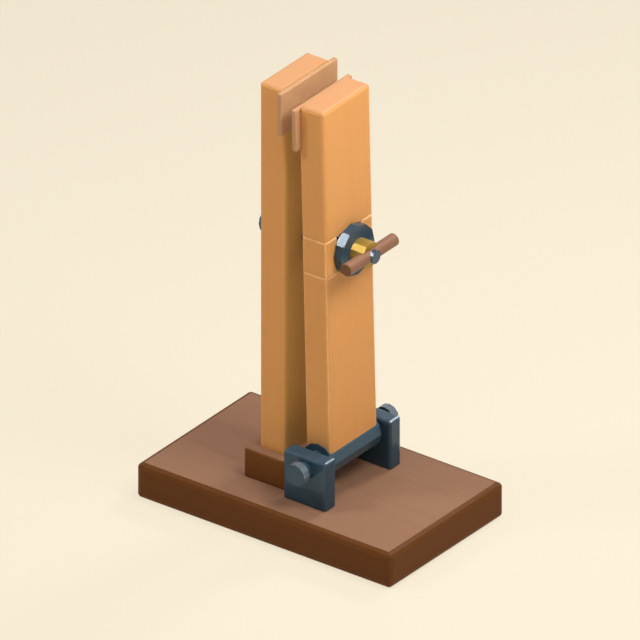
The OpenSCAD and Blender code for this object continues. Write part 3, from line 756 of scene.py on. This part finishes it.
def metal(name, light, dark, marks, rough_low, rough_high, bare=1.0):
    """Bare metal; marks is how its tool marks are drawn out along each axis, per metre, and
    bare is less than 1 where it has dulled."""
    material, tree, shader = new_material(name)
    spot = place(tree, "ShaderNodeTexCoord").outputs["Object"]
    cloud = stretched_noise(tree, spot, metal_cloud_scale, 4.0, 0.6)
    lines = stretched_noise(tree, spot, marks, 2.0)
    weak_lines = sums(tree, "MULTIPLY", lines, metal_mark_share)
    tone = sums(tree, "ADD", sums(tree, "MULTIPLY", cloud, metal_cloud_share), weak_lines)
    tree.links.new(blend_colours(tree, tone, light, dark), shader.inputs["Base Color"])
    worked = sums(tree, "ADD", cloud, weak_lines)
    rough = span(tree, worked, smooth_at, rough_at, rough_low, rough_high)
    tree.links.new(rough, shader.inputs["Roughness"])
    shader.inputs["Metallic"].default_value = bare
    relief = place(tree, "ShaderNodeBump", {
        "Height": lines, "Strength": metal_relief, "Distance": tool_mark_depth,
    }).outputs[0]
    tree.links.new(relief, shader.inputs["Normal"])
    return material


screw_steel = metal("screw_steel", bright_light, bright_dark,
                    marks=(1800, 1800, 1800), rough_low=0.28, rough_high=0.42)
for name in ("ear_screws", "foot_block_screws", "jaw_foot_screws", "barrel_screws", "hub_grub_screw"):
    finish(name, screw_steel)
turned_steel = metal("turned_steel", bright_light, bright_dark,
                     marks=(2400, 40, 40), rough_low=0.26, rough_high=0.40)
for name in ("nut_washer", "thrust_washer"):
    finish(name, turned_steel)


# Nut: a twelve-sided head behind the fixed jaw, whose sleeve goes through the wood into
# the collar on the inner face.
for name in ("screw_nut", "nut_collar"):
    finish(name, blued(name + "_blued"))


# Clamp screw: blued M12 steel with a coarse thread. The threaded piece ends at the hand
# wheel, because the wheel, the hub, the bar and the cap hide the rest of the screw.
screw_low, screw_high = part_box("clamp_screw")
screw_line = Vector((0, 0, (screw_low.z + screw_high.z) / 2))
thread_r = (screw_high.y - screw_low.y) / 2
thread_pitch = 0.00175
# A metric thread's depth, and where its crest starts and ends, as shares of the pitch
depth_share = 0.6134
crest_start_share = 0.4375
crest_end_share = 0.5625
thread_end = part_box("hand_wheel")[0].x
turn_steps = 24
# Turns spun past the rod's ends before they are cut square, and those before its start
spare_turns = 5
lead_turns = 2
# How near points are welded, and how near the cut the rim's points lie
weld_gap = thread_pitch / 50
cut_gap = thread_pitch / 100


def threaded_rod(low_x, high_x):
    """Thread from low to high X on the screw's line: one pitch of its profile, spun along a helix,
    welded to itself and cut square at both ends."""
    form = bmesh.new()
    root_r = thread_r - depth_share * thread_pitch
    profile = (
        (0, root_r),
        (crest_start_share, thread_r),
        (crest_end_share, thread_r),
        (1, root_r),
    )
    start_x = low_x - lead_turns * thread_pitch
    points = [form.verts.new((start_x + share * thread_pitch, 0, r)) for share, r in profile]
    edges = [form.edges.new(pair) for pair in zip(points, points[1:])]
    turns = int((high_x - low_x) / thread_pitch) + spare_turns
    bmesh.ops.spin(form, geom=points + edges, cent=(0, 0, 0), axis=(1, 0, 0), angle=turns * 2 * pi,
                   dvec=(thread_pitch / turn_steps, 0, 0), steps=turns * turn_steps, use_merge=False)
    bmesh.ops.remove_doubles(form, verts=form.verts, dist=weld_gap)
    for cut_x, side in ((low_x, -1), (high_x, 1)):
        bmesh.ops.bisect_plane(form, geom=form.verts[:] + form.edges[:] + form.faces[:],
                               plane_co=(cut_x, 0, 0), plane_no=(side, 0, 0), clear_outer=True)
        rim = [e for e in form.edges
               if e.is_boundary and all(abs(v.co.x - cut_x) < cut_gap for v in e.verts)]
        bmesh.ops.contextual_create(form, geom=rim)
    bmesh.ops.recalc_face_normals(form, faces=form.faces)
    bmesh.ops.translate(form, vec=screw_line, verts=form.verts)
    return form


screw_piece = mesh_object("threaded_clamp_screw", threaded_rod(screw_low.x, thread_end))
screw_piece.data.materials.append(blued("clamp_screw_blued"))
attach(screw_piece, "hand_screw")
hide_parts("clamp_screw")


# Hand wheel: a twelve-sided disc of blued steel on the hub's sleeve. It runs just clear of
# the jaw's face, and the thrust washer behind it pushes on the floor of a round recess.
finish("hand_wheel", blued("hand_wheel_blued"))


# Brass hub: turned from bar, left with twelve flats and milled across its face with an
# open groove for the handle bar. A grub screw holds it on the clamp screw.
brass_light = (0.48, 0.31, 0.060, 1)
brass_dark = (0.36, 0.225, 0.036, 1)
finish("brass_hub", metal("machined_brass", brass_light, brass_dark,
                          marks=(2400, 60, 60), rough_low=0.40, rough_high=0.50, bare=0.6))


# Handle bar: turned from rosewood and oiled, with a flat seat cut for the cap. It lies in
# the hub's groove, and the stud of the clamp screw goes through it.
rosewood = {
    "early": (0.285, 0.140, 0.080, 1), "late": (0.180, 0.080, 0.042, 1),
    "early_cap": (0.200, 0.085, 0.036, 1), "late_cap": (0.145, 0.058, 0.024, 1),
    "cap_direction": (0, 1, 0), "cap_from": 0.8, "cap_to": 0.98,
    "pores": 0.4, "depth": 0.7,
    "rough": 0.34, "gloss": 0.12, "relief": 0.10,
}
bar_middle = block_size("handle_bar")[1]
# The bar's axis from the heart of its tree
bar_heart = Vector((-0.016, 0, 0.008))
finish("handle_bar", wood(
    "handle_rosewood", rosewood, pith=bar_middle + bar_heart, turned=along_y,
    ring=0.0016, figure=0.004))


# Cap: a small twelve-sided blued nut over the stud, which holds the bar in its groove.
# It shines a little more than the other blued pieces.
finish("screw_cap", blued("screw_cap_blued", gloss=0.4))
